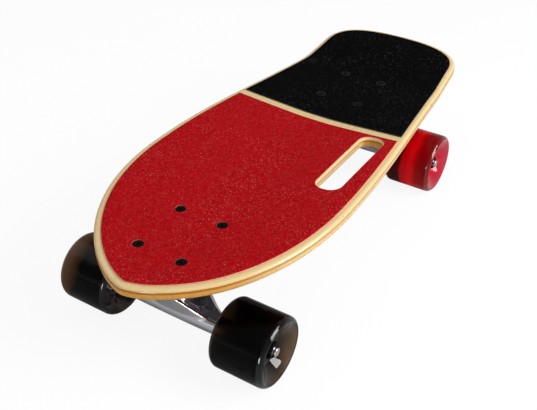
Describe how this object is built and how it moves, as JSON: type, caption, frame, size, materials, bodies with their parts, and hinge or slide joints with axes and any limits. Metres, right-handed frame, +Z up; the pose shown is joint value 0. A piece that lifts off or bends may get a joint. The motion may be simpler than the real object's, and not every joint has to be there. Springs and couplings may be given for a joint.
{
  "type": "cruiser skateboard",
  "caption": "Short wooden cruiser skateboard with a pointed nose, a kicked tail, a carry handle cut through the deck, grip tape, and sprung trucks that steer on soft wheels.",
  "frame": {"origin": "centre of the bounding box's bottom, on the ground between the wheels", "axes": "+X along the deck towards the nose, +Y to the rider's left, +Z up"},
  "size_m": [0.489, 0.2012, 0.1078],
  "materials": {
    "maple": "clear lacquer over maple plies",
    "red_grip": "gritty red tape with pale flecks",
    "black_grip": "gritty black tape",
    "cast": "as cast",
    "polished": "polished casting",
    "steel": "bright",
    "zinc": "zinc plated",
    "bearing": "bright shield and race",
    "black_nut": "black",
    "black_bolt": "black",
    "bushing": "black urethane",
    "cup": "black plastic",
    "smoke": "glossy smoky translucent urethane",
    "red_wheel": "glossy red translucent urethane"
  },
  "bodies": {
    "board": {"deck": "maple", "nose_grip_tape": "red_grip", "tail_grip_tape": "black_grip", "front_baseplate": "cast", "front_pivot_cup": "cup", "front_kingpin": "zinc", "front_kingpin_nut": "zinc", "front_top_cup_washer": "zinc", "front_top_bushing": "bushing", "front_road_bushing": "bushing", "front_road_cup_washer": "zinc", "front_mounting_bolt_1": "black_bolt", "front_mounting_bolt_2": "black_bolt", "front_mounting_bolt_3": "black_bolt", "front_mounting_bolt_4": "black_bolt", "front_locknut_1": "zinc", "front_locknut_2": "zinc", "front_locknut_3": "zinc", "front_locknut_4": "zinc", "rear_baseplate": "cast", "rear_pivot_cup": "cup", "rear_kingpin": "zinc", "rear_kingpin_nut": "zinc", "rear_top_cup_washer": "zinc", "rear_top_bushing": "bushing", "rear_road_bushing": "bushing", "rear_road_cup_washer": "zinc", "rear_mounting_bolt_1": "black_bolt", "rear_mounting_bolt_2": "black_bolt", "rear_mounting_bolt_3": "black_bolt", "rear_mounting_bolt_4": "black_bolt", "rear_locknut_1": "zinc", "rear_locknut_2": "zinc", "rear_locknut_3": "zinc", "rear_locknut_4": "zinc"},
    "front_axle_assembly": {"front_hanger": "polished", "front_axle": "steel", "front_left_bearing_sleeve": "steel", "front_right_bearing_sleeve": "steel", "front_left_axle_nut": "black_nut", "front_right_axle_nut": "black_nut"},
    "front_left_wheel_body": {"front_left_wheel": "smoke", "front_left_outer_bearing": "bearing", "front_left_inner_bearing": "bearing"},
    "front_right_wheel_body": {"front_right_wheel": "smoke", "front_right_outer_bearing": "bearing", "front_right_inner_bearing": "bearing"},
    "rear_axle_assembly": {"rear_hanger": "polished", "rear_axle": "steel", "rear_left_bearing_sleeve": "steel", "rear_right_bearing_sleeve": "steel", "rear_left_axle_nut": "black_nut", "rear_right_axle_nut": "black_nut"},
    "rear_left_wheel_body": {"rear_left_wheel": "red_wheel", "rear_left_outer_bearing": "bearing", "rear_left_inner_bearing": "bearing"},
    "rear_right_wheel_body": {"rear_right_wheel": "red_wheel", "rear_right_outer_bearing": "bearing", "rear_right_inner_bearing": "bearing"}
  },
  "joints": [
    {"name": "front_steer", "type": "hinge", "parent": "board", "child": "front_axle_assembly", "pos_m": [0.162, 0, 0.04706], "axis": [0.8856, 0, 0.4644], "range_deg": [-12, 12], "stiffness_Nm_per_rad": 60, "deforming": ["front_top_bushing", "front_road_bushing"]},
    {"name": "front_left_wheel_spin", "type": "hinge", "parent": "front_axle_assembly", "child": "front_left_wheel_body", "pos_m": [0.1837, 0.07605, 0.03], "axis": [0, 1, 0], "continuous": true},
    {"name": "front_right_wheel_spin", "type": "hinge", "parent": "front_axle_assembly", "child": "front_right_wheel_body", "pos_m": [0.1837, -0.07605, 0.03], "axis": [0, 1, 0], "continuous": true},
    {"name": "rear_steer", "type": "hinge", "parent": "board", "child": "rear_axle_assembly", "pos_m": [-0.1113, 0, 0.04706], "axis": [0.8856, 0, -0.4644], "range_deg": [-12, 12], "stiffness_Nm_per_rad": 60, "deforming": ["rear_top_bushing", "rear_road_bushing"]},
    {"name": "rear_left_wheel_spin", "type": "hinge", "parent": "rear_axle_assembly", "child": "rear_left_wheel_body", "pos_m": [-0.133, 0.07605, 0.03], "axis": [0, 1, 0], "continuous": true},
    {"name": "rear_right_wheel_spin", "type": "hinge", "parent": "rear_axle_assembly", "child": "rear_right_wheel_body", "pos_m": [-0.133, -0.07605, 0.03], "axis": [0, 1, 0], "continuous": true}
  ]
}
